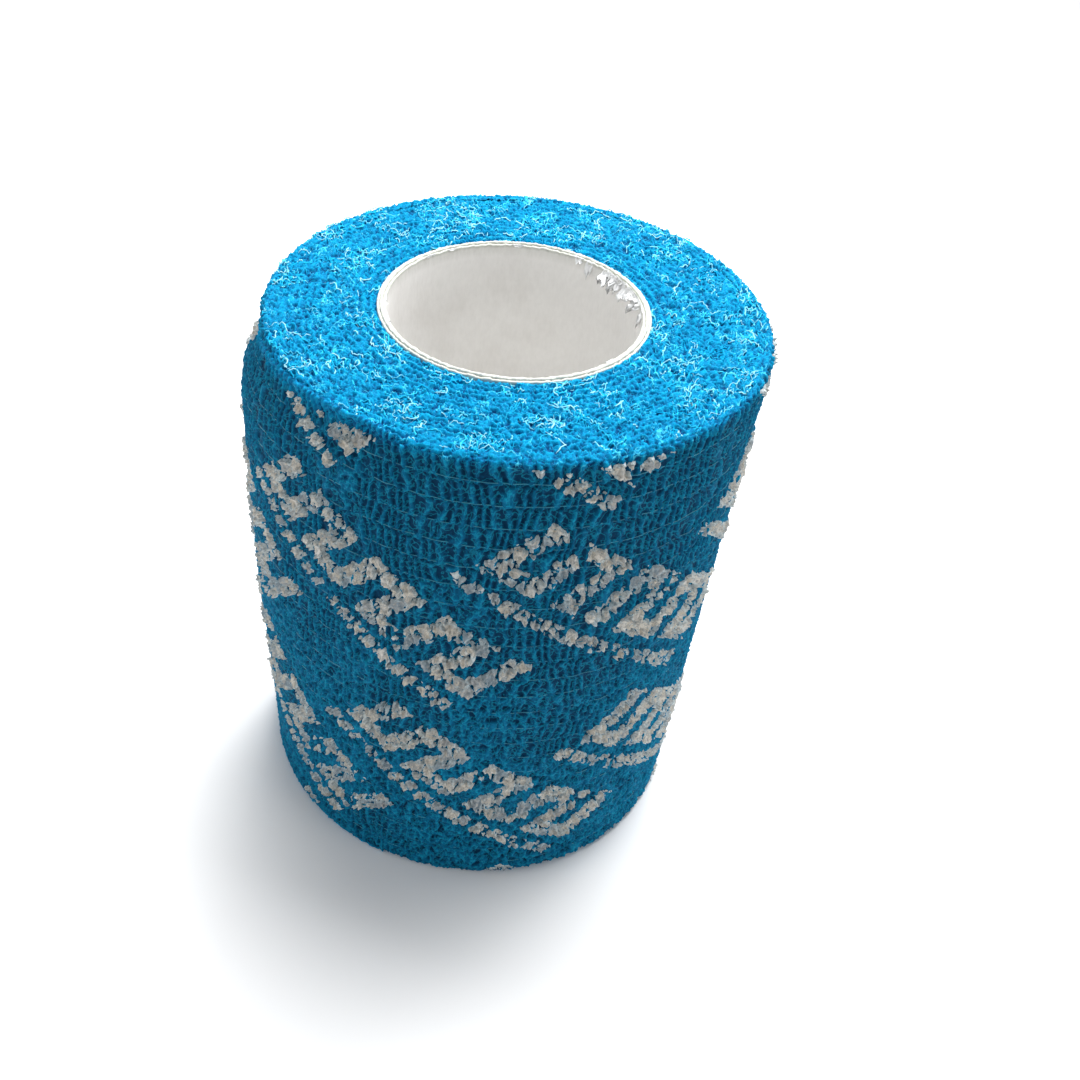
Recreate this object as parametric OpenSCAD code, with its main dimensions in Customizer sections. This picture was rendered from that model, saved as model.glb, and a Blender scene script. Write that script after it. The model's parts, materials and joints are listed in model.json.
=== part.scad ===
// Roll of crinkled cohesive hand wrap on a paper core, standing on one end, with a loose tail.
// Frame: Z up the bore, origin on the core's axis at the base, front of the roll towards -Y.
// The strip is wound clockwise seen from above, so its angles fall from the core outwards.

/* [Paper core] */
// Bore of the paper core
core_bore_d = 30.8; // [26:0.1:32]
// Outside diameter of the paper core
core_outer_d = 33; // [32.5:0.1:36]
// Length of the paper core
core_len = 75; // [50:0.5:100]

/* [Wound strip] */
// Width of the strip, which is the height of the standing roll
strip_w = 75; // [50:0.5:100]
// Half turns of strip on the core
half_turns = 29; // [9:1:33]
// Growth in radius with each full turn
pitch = 0.96; // [0.9:0.01:1.1]
// Thickness of each nonwoven web
web_t = 0.3; // [0.2:0.01:0.3]
// Thickness of the thread layer between the webs
thread_t = 0.26; // [0.15:0.01:0.26]
// Height of each flattened thread
thread_h = 0.4; // [0.2:0.05:0.6]
// Elastane threads across the strip
thread_count = 24; // [6:1:30]
// Thickness of the starter tape that holds the first end to the core
starter_t = 0.1; // [0.05:0.01:0.2]
// Arc of the starter tape round the core, in degrees
starter_arc = 35; // [15:5:60]

/* [Loose tail] */
// Angle where the tail leaves the roll, counted anticlockwise from +X
tail_root_angle = 250; // [200:1:300]
// Length of the loose tail along its outer face
tail_len = 42; // [30:1:60]
// Radius that the relaxed tail has taken, larger than the roll's
tail_r = 36; // [34:0.5:60]
// Thickness of each web of the tail, pulled thinner than in the roll
tail_web_t = 0.24; // [0.15:0.01:0.24]
// Thickness of the tail's thread layer
tail_thread_t = 0.2; // [0.15:0.01:0.2]
// How far the tail's top edge has drawn down at its free end
tail_drop = 3.5; // [0:0.5:8]
// Clearance of the tail's lower edge above the base
tail_lift = 0.4; // [0.3:0.1:2]
// Gap between neighbouring segments of the tail
tail_gap = 0.06; // [0.02:0.01:0.2]

/* [Print] */
// Thickness of the raised ink
ink_t = 0.14; // [0.05:0.01:0.2]
// Ink marks round the roll
marks_round = 6; // [3:1:8]
// Angle of the lowest full ring's first mark
mark_offset = 35.5; // [0:0.5:60]
// Height of that ring's marks above the base
first_ring_z = 20.5; // [15:0.5:35]
// Height from one ring of marks to the next
mark_rise = 32; // [25:1:40]
// Slope of a mark, downwards to the right
mark_slope = 34; // [0:1:45]
// Length of a mark
mark_len = 42; // [20:1:44]
// Slanted bars in a mark
bars = 8; // [4:1:10]
// Height of a slanted bar
bar_h = 9.5; // [4:0.5:12]
// Width of a slanted bar
bar_w = 2.8; // [1.5:0.1:4]
// Sideways lean of a bar for each unit of its height
bar_lean = 0.32; // [0:0.01:0.5]
// Height of the links that join the bars, at the top and the bottom by turns
link_h = 2.4; // [1:0.1:4]
// Gap between the bars and the thin line under them
line_gap = 1.9; // [1:0.1:4]
// Height of the thin line
line_h = 1.8; // [0.8:0.1:3]
// Dashes in the thin line
line_dashes = 6; // [1:1:8]
// Gap between the dashes
dash_gap = 1.5; // [0.5:0.1:3]
// Bare margin along both edges of the strip
print_margin = 0.5; // [0.2:0.1:3]

/* [Hidden] */
TAIL_SEGMENTS = 5;
$fn = 96;

CORE_PLIES = 3;
core_bore_r = core_bore_d / 2;
core_outer_r = core_outer_d / 2;
core_ply_t = (core_outer_r - core_bore_r) / CORE_PLIES;

// The webs lie against the thread layer, and the turns lie a little apart.
strip_t = 2 * web_t + thread_t;
thread_pitch = strip_w / (thread_count + 1);

// Each half turn is an arc whose centre sits a quarter pitch off the axis, to one side
// and then the other, which makes the turns one continuous spiral.
winding_start_angle = tail_root_angle + 180 * half_turns;
first_arc_r = core_outer_r + starter_t + pitch / 4;
function direction(angle) = [cos(angle), sin(angle), 0];
function arc_start_angle(k) = winding_start_angle - 180 * k;
function arc_centre(k) = -pitch / 4 * direction(arc_start_angle(k));
function arc_r(k) = first_arc_r + k * pitch / 2;

// The tail's outer face carries on from the roll's outer face at the root.
root_r = arc_r(half_turns - 1) + pitch / 4 + strip_t;
tail_t = 2 * tail_web_t + tail_thread_t;
tail_centre = (root_r - tail_r) * direction(tail_root_angle);
segment_arc = tail_len / tail_r / TAIL_SEGMENTS * 180 / PI;
gap_arc = tail_gap / tail_r * 180 / PI;

// Ink marks: leaning bars linked into a slanting band, with a thin line of dashes beneath.
// The rings of marks are staggered by half a mark, and each mark is cut as a prism from
// just inside the roll's face to just outside the tail's.
MARK_RINGS = [-1, 0, 1, 2];
PRISM_MARGIN = 10;
prism_len = tail_r - root_r + 2 * PRISM_MARGIN;
mark_step = 360 / marks_round;
mark_reach = mark_step / 2 + 2 * PRISM_MARGIN;
bar_step = mark_len / bars;
dash_step = mark_len / line_dashes;
function wrapped(angle) = angle - 360 * floor(angle / 360);

// Bare arc of the roll's face between the tail's free end and the print beyond it
TAIL_END_ARC = 4;

INK = [0.72, 0.71, 0.69];
BLUE = [0.03, 0.42, 0.62];
BLUE_BACK = [0.05, 0.5, 0.72];
BINDER = [0.1, 0.45, 0.6];
THREAD = [0.55, 0.78, 0.88];
PAPER = [0.93, 0.92, 0.88];
PAPER_GREY = [0.78, 0.77, 0.76];

// One ply of the core's wall, counted outwards from the bore
module core_ply(index) {
    inner = core_bore_r + index * core_ply_t;
    difference() {
        cylinder(r = inner + core_ply_t, h = core_len);
        translate([0, 0, -1]) cylinder(r = inner, h = core_len + 2);
    }
}

module core_inner_ply() { color(PAPER_GREY) core_ply(0); }
module core_middle_ply() { color(PAPER) core_ply(1); }
module core_outer_ply() { color(PAPER) core_ply(2); }

// Arc of double-sided tape between the core and the start of the strip
module starter_tape() {
    color("gold")
        rotate([0, 0, winding_start_angle - starter_arc])
            rotate_extrude(angle = starter_arc)
                translate([core_outer_r, 0]) square([starter_t, core_len]);
}

// Cross-sections of the strip: radius outwards along X and the strip's width along Y
module web_section(offset, thickness, low, high) {
    translate([offset, low]) square([thickness, high - low]);
}

module thread_section(offset, thickness, low, high) {
    for (i = [1:thread_count]) {
        z = i * thread_pitch;
        if (z - thread_h > low && z + thread_h < high)
            translate([offset, z - thread_h / 2]) square([thickness, thread_h]);
    }
}

module binder_section(offset, thickness, low, high) {
    difference() {
        web_section(offset, thickness, low, high);
        thread_section(offset - 1, thickness + 2, low, high);
    }
}

// Sweeps a cross-section along one half turn of the winding
module sweep_half_turn(k) {
    translate(arc_centre(k))
        rotate([0, 0, arc_start_angle(k) - 180])
            rotate_extrude(angle = 180)
                translate([arc_r(k), 0]) children();
}

module sweep_winding() {
    for (k = [0:half_turns - 1]) sweep_half_turn(k) children();
}

module wound_back_web() { color(BLUE_BACK) sweep_winding() web_section(0, web_t, 0, strip_w); }
module wound_binder() { color(BINDER) sweep_winding() binder_section(web_t, thread_t, 0, strip_w); }
module wound_elastane_threads() {
    color(THREAD) sweep_winding() thread_section(web_t, thread_t, 0, strip_w);
}
module wound_face_web() {
    color(BLUE) sweep_winding() web_section(web_t + thread_t, web_t, 0, strip_w);
}

// Upright box of ink whose sides lean, centred at x, between two heights
module leaning_box(x, width, low, high) {
    polygon([[x - width / 2 + bar_lean * low, low], [x + width / 2 + bar_lean * low, low],
             [x + width / 2 + bar_lean * high, high], [x - width / 2 + bar_lean * high, high]]);
}

module mark_outline() {
    first_x = -(bars - 1) / 2 * bar_step;
    for (i = [0:bars - 1]) leaning_box(first_x + i * bar_step, bar_w, -bar_h / 2, bar_h / 2);
    for (i = [0:bars - 2]) {
        low = i % 2 == 0 ? -bar_h / 2 : bar_h / 2 - link_h;
        leaning_box(first_x + (i + 0.5) * bar_step, bar_step, low, low + link_h);
    }
    for (i = [0:line_dashes - 1])
        translate([(i - line_dashes / 2) * dash_step, -bar_h / 2 - line_gap - line_h])
            square([dash_step - dash_gap, line_h]);
}

// One mark as a prism that points outwards along +X
module mark_prism() {
    rotate([90, 0, 90]) linear_extrude(prism_len) rotate([0, 0, -mark_slope]) mark_outline();
}

// The marks between two angles and below a height, clear of both edges of the strip
module marks_between(low_angle, high_angle, top) {
    intersection() {
        for (ring = MARK_RINGS, i = [0:marks_round - 1]) {
            angle = mark_offset + (i + ring / 2) * mark_step;
            past_low = wrapped(angle - low_angle + mark_reach);
            if (past_low < high_angle - low_angle + 2 * mark_reach)
                rotate([0, 0, angle])
                    translate([root_r - PRISM_MARGIN, 0, first_ring_z + ring * mark_rise])
                        mark_prism();
        }
        translate([0, 0, print_margin]) cylinder(r = 2 * tail_r, h = top - 2 * print_margin);
    }
}

// Thin shell on the outside of the last two half turns. The tail covers part of the first.
module wound_ink() {
    color(INK) for (k = [half_turns - 2, half_turns - 1]) {
        covered = k == half_turns - 2 ? segment_arc * TAIL_SEGMENTS + TAIL_END_ARC : 0;
        low_angle = arc_start_angle(k) - 180;
        intersection() {
            marks_between(low_angle, low_angle + 180, strip_w);
            translate(arc_centre(k))
                rotate([0, 0, low_angle])
                    rotate_extrude(angle = 180 - covered)
                        translate([arc_r(k) + strip_t, 0]) square([ink_t, strip_w]);
        }
    }
}

// Highest point of a tail segment, lower towards the free end
function segment_top(i) = strip_w - tail_drop * (i + 0.5) / TAIL_SEGMENTS;

// Sweeps a cross-section along one segment of the tail, counted from the root
module sweep_segment(i) {
    translate(tail_centre)
        rotate([0, 0, tail_root_angle - (i + 1) * segment_arc])
            rotate_extrude(angle = segment_arc - gap_arc)
                translate([tail_r - tail_t, 0]) children();
}

module tail_back_web(i) {
    color(BLUE_BACK) sweep_segment(i) web_section(0, tail_web_t, tail_lift, segment_top(i));
}
module tail_binder(i) {
    color(BINDER) sweep_segment(i)
        binder_section(tail_web_t, tail_thread_t, tail_lift, segment_top(i));
}
module tail_elastane_threads(i) {
    color(THREAD) sweep_segment(i)
        thread_section(tail_web_t, tail_thread_t, tail_lift, segment_top(i));
}
module tail_face_web(i) {
    color(BLUE) sweep_segment(i)
        web_section(tail_web_t + tail_thread_t, tail_web_t, tail_lift, segment_top(i));
}
module tail_ink(i) {
    color(INK) intersection() {
        marks_between(tail_root_angle - (i + 1) * segment_arc,
                      tail_root_angle - i * segment_arc, segment_top(i));
        sweep_segment(i) translate([tail_t, tail_lift]) square([ink_t, strip_w]);
    }
}

core_inner_ply();
core_middle_ply();
core_outer_ply();
starter_tape();
wound_back_web();
wound_binder();
wound_elastane_threads();
wound_face_web();
wound_ink();
for (i = [0:TAIL_SEGMENTS - 1]) {
    tail_back_web(i);
    tail_binder(i);
    tail_elastane_threads(i);
    tail_face_web(i);
    tail_ink(i);
}
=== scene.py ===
import json
import math

import bpy
import numpy as np
from mathutils import Euler, Matrix, Vector


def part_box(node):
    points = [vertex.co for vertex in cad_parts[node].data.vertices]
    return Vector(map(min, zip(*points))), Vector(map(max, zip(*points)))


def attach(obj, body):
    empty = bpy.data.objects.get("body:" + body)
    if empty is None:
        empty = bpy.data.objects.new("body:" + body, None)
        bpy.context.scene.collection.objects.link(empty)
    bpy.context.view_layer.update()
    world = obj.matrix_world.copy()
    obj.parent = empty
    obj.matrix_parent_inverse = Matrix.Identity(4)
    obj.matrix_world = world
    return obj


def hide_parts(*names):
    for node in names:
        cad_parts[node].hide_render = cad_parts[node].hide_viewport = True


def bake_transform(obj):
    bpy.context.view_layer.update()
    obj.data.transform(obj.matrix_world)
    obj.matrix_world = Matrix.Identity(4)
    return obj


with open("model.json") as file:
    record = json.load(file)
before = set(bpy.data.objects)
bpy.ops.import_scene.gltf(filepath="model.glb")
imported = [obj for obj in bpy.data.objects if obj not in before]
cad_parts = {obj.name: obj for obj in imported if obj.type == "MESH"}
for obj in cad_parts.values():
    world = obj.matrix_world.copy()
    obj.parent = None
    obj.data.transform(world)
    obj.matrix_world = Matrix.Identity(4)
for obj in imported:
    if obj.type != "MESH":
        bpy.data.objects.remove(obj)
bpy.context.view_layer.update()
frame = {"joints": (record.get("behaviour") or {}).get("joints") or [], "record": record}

# Lengths are in millimetres, except where a comment says metres, and a mesh is turned into
# metres as it is made.
MM = 0.001

# ---------------------------------------------------------------- places, from the frame
STRIP_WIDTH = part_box("wound_face_web")[1].z / MM
CORE_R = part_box("core_outer_ply")[1].x / MM
BORE_R = frame["record"]["mounts"][0]["dims"]["r_mm"]
PIVOTS = np.array([joint["pos_m"][:2] for joint in frame["joints"]]) / MM
SEGMENTS = len(PIVOTS)
ROOT_R = float(np.hypot(*PIVOTS[0]))
ROOT_ANGLE = math.atan2(PIVOTS[0][1], PIVOTS[0][0]) % (2 * math.pi)


def circle_through(a, b, c):
    """Centre and radius of the circle through three points."""
    rows = np.array([b - a, c - a])
    centre = a + np.linalg.solve(2 * rows, (rows ** 2).sum(1))
    return centre, float(np.linalg.norm(a - centre))


# The tail's hinges lie on a circle, and ROOT is the first of them.
TAIL_CENTRE, TAIL_R = circle_through(PIVOTS[0], PIVOTS[SEGMENTS // 2], PIVOTS[-1])
SEGMENT_LEN = 2 * TAIL_R * math.asin(np.linalg.norm(PIVOTS[1] - PIVOTS[0]) / 2 / TAIL_R)
TAIL_LEN = SEGMENTS * SEGMENT_LEN

# ---------------------------------------------------------------- driving dimensions
TURN_PITCH = 0.96       # growth of the roll's radius in one turn
THREADS = 24
THREAD_PITCH = STRIP_WIDTH / (THREADS + 1)
MEAN_R = ROOT_R - TURN_PITCH / 2
TURN_LEN = 2 * math.pi * MEAN_R

CRINKLE_DEPTH = 0.62    # from the creases to the crests
CREST_PROUD = 0.1       # how far the crests stand outside the smooth CAD face
FOLD_SPACING = 1.25     # from one upright fold to the next
CURL_FADE = 78          # height over which the curls give way to upright folds
TIGHT_FROM, TIGHT_TO = 42, 60       # heights between which they give way faster
RIM_ROUND = 1.1         # radius of the roll's rounded rims
RIM_QUARTER = RIM_ROUND * math.pi / 2
RIM_REACH = 2.2         # how far a side panel runs over the top and the base
SIDE_STEP = 0.152       # mesh spacing on the side
SIDE_PANELS = 8
RIM_BLEND = 0.9         # half the height over which the face's crinkle gives way at a rim
PRINT_MARGIN = 1.1      # bare edge of the strip
THREAD_R = 0.055
THREAD_SIDES, FIBRE_SIDES = 5, 4    # of their round sections
INK_SKIRT = 0.08        # how far the ink's mesh runs on past a chip, under the fabric
FAR_OUTSIDE = -9.0      # for a point that is inside no mark
EDGE_GLOW = 1.9         # how far the painted highlight of the lit top rim, over the cut edge's paler fluff, reaches down the face
COVERED_LEN = TAIL_LEN + 2  # length of the last turn that lies behind the tail
BARE_TOP = 7            # height without ink behind the tail's top edge, which lies close

# ---------------------------------------------------------------- noise
# Each pattern has a seed of its own, so that no two of them line up.
NOISE_CELLS = 256       # after which a pattern repeats


def noise(x, y, seed):
    """Smooth gradient noise on a unit grid, from about -1 to 1."""
    angle = np.random.default_rng(seed).uniform(0, 2 * np.pi, (NOISE_CELLS, NOISE_CELLS))
    grad_x, grad_y = np.cos(angle), np.sin(angle)
    x, y = np.broadcast_arrays(x, y)
    col, row = np.floor(x).astype(int), np.floor(y).astype(int)
    fx, fy = x - col, y - row
    ease_x = fx ** 3 * (fx * (fx * 6 - 15) + 10)
    ease_y = fy ** 3 * (fy * (fy * 6 - 15) + 10)
    total = 0
    for i in (0, 1):
        for j in (0, 1):
            a, b = (col + i) % NOISE_CELLS, (row + j) % NOISE_CELLS
            weight = (ease_x if i else 1 - ease_x) * (ease_y if j else 1 - ease_y)
            total = total + weight * (grad_x[a, b] * (fx - i) + grad_y[a, b] * (fy - j))
    return total * 1.5


def step(low, high, x):
    """Smooth step from 0 at low to 1 at high."""
    t = np.clip((x - low) / (high - low), 0, 1)
    return t * t * (3 - 2 * t)


def mix(a, b, share):
    """a where the share is 0, b where it is 1."""
    return a + (b - a) * share


def crest(wave, soft=0.12):
    """A sharp crest where the wave crosses zero, with a round valley between crests."""
    return 1 - (np.sqrt(wave ** 2 + soft ** 2) - soft)


def cells(x, y, seed, jitter=0.42):
    """Cells round jittered points on a unit grid: (distance to the nearest edge,
    a random number for the cell, and the offset from its point)."""
    table = np.random.default_rng(seed).random((NOISE_CELLS, NOISE_CELLS, 3))
    col, row = np.floor(x).astype(int), np.floor(y).astype(int)
    near, second = np.full(x.shape, 9.0), np.full(x.shape, 9.0)
    value, off_x, off_y = np.zeros(x.shape), np.zeros(x.shape), np.zeros(x.shape)
    for i in (-1, 0, 1):
        for j in (-1, 0, 1):
            entry = table[(col + i) % NOISE_CELLS, (row + j) % NOISE_CELLS]
            dx = x - (col + i + 0.5 + jitter * (2 * entry[..., 0] - 1))
            dy = y - (row + j + 0.5 + jitter * (2 * entry[..., 1] - 1))
            d = np.hypot(dx, dy)
            closer = d < near
            second = np.where(closer, near, np.minimum(second, d))
            near = np.where(closer, d, near)
            value = np.where(closer, entry[..., 2], value)
            off_x, off_y = np.where(closer, dx, off_x), np.where(closer, dy, off_y)
    return (second - near) / 2, value, off_x, off_y


# ---------------------------------------------------------------- the crinkled face
def thread_line(s, index):
    """Height of a thread above the base: level, with a slight wander."""
    return index * THREAD_PITCH + 0.22 * noise(s / 11, index * 3.7, 21)


def crinkle(s, z):
    """Height of the crinkle at s along the strip and z up it, from 0 in the creases to 1 on
    the crests. Upright folds run between the threads, and give way to curls in patches.
    The curls are fewest on the upper part of the face. Threads hold the cloth level."""
    drift = 1.1 * noise(s / 8, z / 10, 11) + 0.34 * noise(s / 2.1, z / 2.4, 12)
    row = z / THREAD_PITCH
    stair = np.floor(row) + step(0.8, 1.0, row - np.floor(row))
    shift = 0.75 * noise(s / 3.3, stair * 0.83, 13)
    upright = crest(1.25 * np.sin(np.pi * (s / FOLD_SPACING + drift + shift)))
    upright = upright * (0.72 + 0.36 * noise(s / 1.9, stair * 1.7, 19))
    warp_s = s + 0.55 * noise(s / 1.5, z / 1.5, 14)
    warp_z = z + 0.55 * noise(s / 1.5 + 31, z / 1.5, 15)
    curl = crest(2.6 * noise(warp_s / 1.3, warp_z / 1.75, 16))
    curl = np.maximum(curl, 0.85 * crest(2.9 * noise(warp_s / 0.95, warp_z / 1.1, 18)) - 0.1)
    tight = z / CURL_FADE + 0.3 * step(TIGHT_FROM, TIGHT_TO, z)
    curly = step(-0.25, 0.55, noise(s / 15, z / 13, 17) + 0.68 - tight)
    height = mix(upright, curl, 0.16 + 0.6 * curly)
    height = height + 0.16 * noise(s / 0.42, z / 0.6, 20) + 0.12 * noise(s / 0.8, z / 0.36, 23)
    index = np.round(row)
    away = z - thread_line(s, index)
    height = mix(height, 0.55, 0.5 * np.exp(-((away / 0.22) ** 2)))
    return np.clip(height, 0, 1.15)


# ---------------------------------------------------------------- the print
MARK_STEP = math.radians(60)    # from one mark to the next round the roll
MARK_RISE = 32                  # from one ring of marks to the next
MARK_FIRST = (math.radians(275.5), 20.5)    # angle round the roll and height of a mark
MARK_SLOPE = math.radians(34)   # each mark drops by this to the right
MARK_RINGS, MARKS_ROUND = range(-1, 3), range(-3, 8)    # enough to cover roll and tail
BAR_STEP, BAR_WIDTH, BARS = 5.25, 2.75, 8
BAND_HEIGHT, LINK_HEIGHT = 9.5, 2.5         # of the bars, and of the links between them
LEAN = 0.32                     # sideways shift of a bar for its height
DASH_STEP, DASH_WIDTH, DASH_HEIGHT, DASHES = 2.4, 1.75, 1.9, 17
DASH_DROP = 7.55                # from the middle of the bars down to the dashes
CHIP_WIDTH, CHIP_HEIGHT = 1.75, 2.4         # typical chip of cracked ink


def mark_centres():
    """Centres of the marks as (s, z), rings staggered by half a step."""
    first_s = (MARK_FIRST[0] - ROOT_ANGLE) * MEAN_R
    for ring in MARK_RINGS:
        for i in MARKS_ROUND:
            yield first_s + (i + ring / 2) * MARK_STEP * MEAN_R, MARK_FIRST[1] + ring * MARK_RISE


def inside_box(u, v, centre_u, centre_v, width, height):
    """How far a point is inside a box, negative outside."""
    return np.minimum(width / 2 - np.abs(u - centre_u), height / 2 - np.abs(v - centre_v))


def motif(u, v):
    """A leaning meander of bars with a row of dashes beneath: an ornament, not lettering."""
    lean_u = u - LEAN * v
    slab_v = (BAND_HEIGHT - LINK_HEIGHT) / 2
    best = np.full(u.shape, FAR_OUTSIDE)
    for i in range(BARS):
        at = (i - (BARS - 1) / 2) * BAR_STEP
        best = np.maximum(best, inside_box(lean_u, v, at, 0, BAR_WIDTH, BAND_HEIGHT))
        if i < BARS - 1:
            side = slab_v if i % 2 else -slab_v
            best = np.maximum(best, inside_box(
                lean_u, v, at + BAR_STEP / 2, side, BAR_STEP, LINK_HEIGHT))
    for i in range(DASHES):
        at = (i - (DASHES - 1) / 2) * DASH_STEP
        best = np.maximum(best, inside_box(lean_u, v, at, -DASH_DROP, DASH_WIDTH, DASH_HEIGHT))
    return best


def print_depth(s, z):
    """How far inside the printed marks a point of the strip lies, negative outside them."""
    wander_s = s + 0.45 * noise(s / 1.6, z / 1.6, 31)
    wander_z = z + 0.45 * noise(s / 1.6, z / 1.6, 32)
    best = np.full(s.shape, FAR_OUTSIDE)
    reach_u, reach_v = BARS * BAR_STEP / 2 + 4, DASH_DROP + 3
    for mark_s, mark_z in mark_centres():
        ds, dz = wander_s - mark_s, wander_z - mark_z
        u = ds * math.cos(MARK_SLOPE) - dz * math.sin(MARK_SLOPE)
        v = ds * math.sin(MARK_SLOPE) + dz * math.cos(MARK_SLOPE)
        near = (np.abs(u) < reach_u) & (np.abs(v) < reach_v)
        if near.any():
            best[near] = np.maximum(best[near], motif(u[near], v[near]))
    return best


def chips(s, z, height):
    """The ink broken into chips: (how far inside a chip, height of the chip above the crests,
    a random number for each chip)."""
    depth = print_depth(s, z)
    warp_s = s + 0.34 * noise(s / 1.0, z / 1.2, 33) + 0.2 * noise(s / 0.4, z / 0.4, 36)
    warp_z = z + 0.34 * noise(s / 1.0 + 7, z / 1.2, 37) + 0.16 * noise(s / 0.4, z / 0.4, 40)
    edge, value, off_s, off_z = cells(warp_s / CHIP_WIDTH, warp_z / CHIP_HEIGHT, 34, 0.47)
    margin = np.minimum(z, STRIP_WIDTH - z) - PRINT_MARGIN
    crack = 0.08 + 0.1 * noise(s / 2.5, z / 2.5, 39)
    inside = np.minimum(np.minimum(depth, margin), edge * CHIP_WIDTH - crack)
    inside = inside - 0.6 * np.clip(0.36 - height, 0, 1) - 0.5 * (value > 0.95)
    tilt = 2.0 * (value - 0.5) * off_s + 2.2 * (np.mod(value * 7, 1) - 0.4) * off_z
    folds = 0.36 * crest(2.4 * noise(s / 0.8, z / 1.9, 38), 0.04)
    curled = 0.16 * step(0.3, 0.0, inside)
    top = 0.14 * value + 0.5 * tilt + folds + curled + 0.08 * noise(s / 0.4, z / 0.5, 35) - 0.2
    return inside, top, value


# ---------------------------------------------------------------- meshes
def new_object(name, points, faces, uv, values=None, smooth=True):
    """A mesh object from points in millimetres. uv is per point, and values are named
    numbers per point that the materials read. smooth is one flag, or one per face."""
    mesh = bpy.data.meshes.new(name)
    sides = faces.shape[1]
    mesh.vertices.add(len(points))
    mesh.vertices.foreach_set("co", (points * MM).astype(np.float32).ravel())
    mesh.loops.add(faces.size)
    mesh.loops.foreach_set("vertex_index", faces.astype(np.int32).ravel())
    mesh.polygons.add(len(faces))
    mesh.polygons.foreach_set("loop_start", np.arange(0, faces.size, sides, dtype=np.int32))
    mesh.update(calc_edges=True)
    mesh.polygons.foreach_set("use_smooth", np.full(len(faces), smooth))
    layer = mesh.uv_layers.new(name="OFBake")
    layer.data.foreach_set("uv", uv[faces.ravel()].astype(np.float32).ravel())
    for key, value in (values or {}).items():
        attribute = mesh.attributes.new(key, "FLOAT", "POINT")
        attribute.data.foreach_set("value", value.astype(np.float32).ravel())
    made = bpy.data.objects.new(name, mesh)
    bpy.context.scene.collection.objects.link(made)
    return made


def grid_faces(rows, cols, wrap=False):
    """Quads of a grid of points stored row by row; wrap joins the last column to the first."""
    index = np.arange(rows * cols).reshape(rows, cols)
    if wrap:
        index = np.concatenate([index, index[:, :1]], axis=1)
    return np.stack([index[:-1, :-1], index[:-1, 1:], index[1:, 1:], index[1:, :-1]],
                    axis=-1).reshape(-1, 4)


def grid_uv(rows, cols, low=(0.0, 0.0), high=(1.0, 1.0), margin=0.004):
    """Square-on texture coordinates for a grid, inside a part of the texture."""
    v, u = np.meshgrid(np.linspace(0, 1, rows), np.linspace(0, 1, cols), indexing="ij")
    size = np.array(high) - np.array(low)
    return np.stack([u, v], -1).reshape(-1, 2) * (size - 2 * margin) + np.array(low) + margin


def keep_faces(points, faces, keep, *others):
    """The mesh without the faces that keep is false on, and without unused points."""
    faces = faces[keep]
    used, faces = np.unique(faces, return_inverse=True)
    return points[used], faces.reshape(-1, 4), [other[used] for other in others]


def joined(parts):
    """Several (points, faces, uv, values) as one."""
    points, faces, uvs, values, start = [], [], [], {}, 0
    for part_points, part_faces, part_uv, part_values in parts:
        points.append(part_points)
        faces.append(part_faces + start)
        uvs.append(part_uv)
        for key, value in part_values.items():
            values.setdefault(key, []).append(value)
        start += len(part_points)
    return (np.concatenate(points), np.concatenate(faces), np.concatenate(uvs),
            {key: np.concatenate(value) for key, value in values.items()})


# ---------------------------------------------------------------- the side of the roll
def side_radius(s):
    """Radius of the last turn's outer face, s millimetres anticlockwise from the tail's root."""
    return ROOT_R - TURN_PITCH * s / TURN_LEN


def rim_profile(path):
    """Where a point lies that is path millimetres up the face and over its rims: (distance
    inside the outer radius, height, outward share of its normal, upward share)."""
    top = STRIP_WIDTH - RIM_ROUND
    over = np.clip((path - top) / RIM_QUARTER, 0, 1) * math.pi / 2
    under = np.clip((RIM_ROUND - path) / RIM_QUARTER, 0, 1) * math.pi / 2
    turn = over - under
    flat_top = np.maximum(path - top - RIM_QUARTER, 0)
    flat_base = np.maximum(RIM_ROUND - RIM_QUARTER - path, 0)
    inside = RIM_ROUND * (1 - np.cos(turn)) + flat_top + flat_base
    height = np.clip(path, RIM_ROUND, top) + RIM_ROUND * (np.sin(over) - np.sin(under))
    return inside, height, np.cos(turn), np.sin(turn)


def side_point(s, path, out):
    """Point on the side, out millimetres proud of the smooth face."""
    inside, height, outward, upward = rim_profile(path)
    angle = ROOT_ANGLE + s / MEAN_R
    radius = side_radius(s) - inside + out * outward
    height = np.maximum(height + out * upward, 0)
    return np.stack([radius * np.cos(angle), radius * np.sin(angle), height], -1)


def side_grid(s_low, s_high):
    """A side panel's grid: (rows, columns, s and path of each point)."""
    low = RIM_ROUND - RIM_QUARTER - (RIM_REACH - RIM_ROUND)
    high = STRIP_WIDTH - low
    rows = int((high - low) / SIDE_STEP) + 1
    cols = int((s_high - s_low) / SIDE_STEP) + 1
    path, s = np.meshgrid(np.linspace(low, high, rows), np.linspace(s_low, s_high, cols),
                          indexing="ij")
    return rows, cols, s.ravel(), path.ravel()


def proud(height):
    """How far a point of the crinkle stands outside the smooth face."""
    return CREST_PROUD - CRINKLE_DEPTH * (1 - height)


def ink_proud(height, inside, top):
    """How far the ink's surface stands outside the smooth face, diving under the fabric at
    the edge of each chip."""
    level = proud(0.6 * height + 0.4) + top
    return mix(proud(height) - 0.12, np.maximum(level, proud(height) + 0.04),
               step(-0.06, 0.05, inside))


def side_crinkle(s, path):
    """The crinkle of the face, which turns into the end face's squiggles over each rim."""
    flat = side_point(s, path, 0)
    over = step(RIM_BLEND, -RIM_BLEND, np.minimum(path, STRIP_WIDTH - path))
    height = crinkle(s, path)
    near = over > 0
    squiggles = end_crinkle(flat[near, 0], flat[near, 1])
    height[near] = mix(height[near], squiggles, over[near])
    return height


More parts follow.
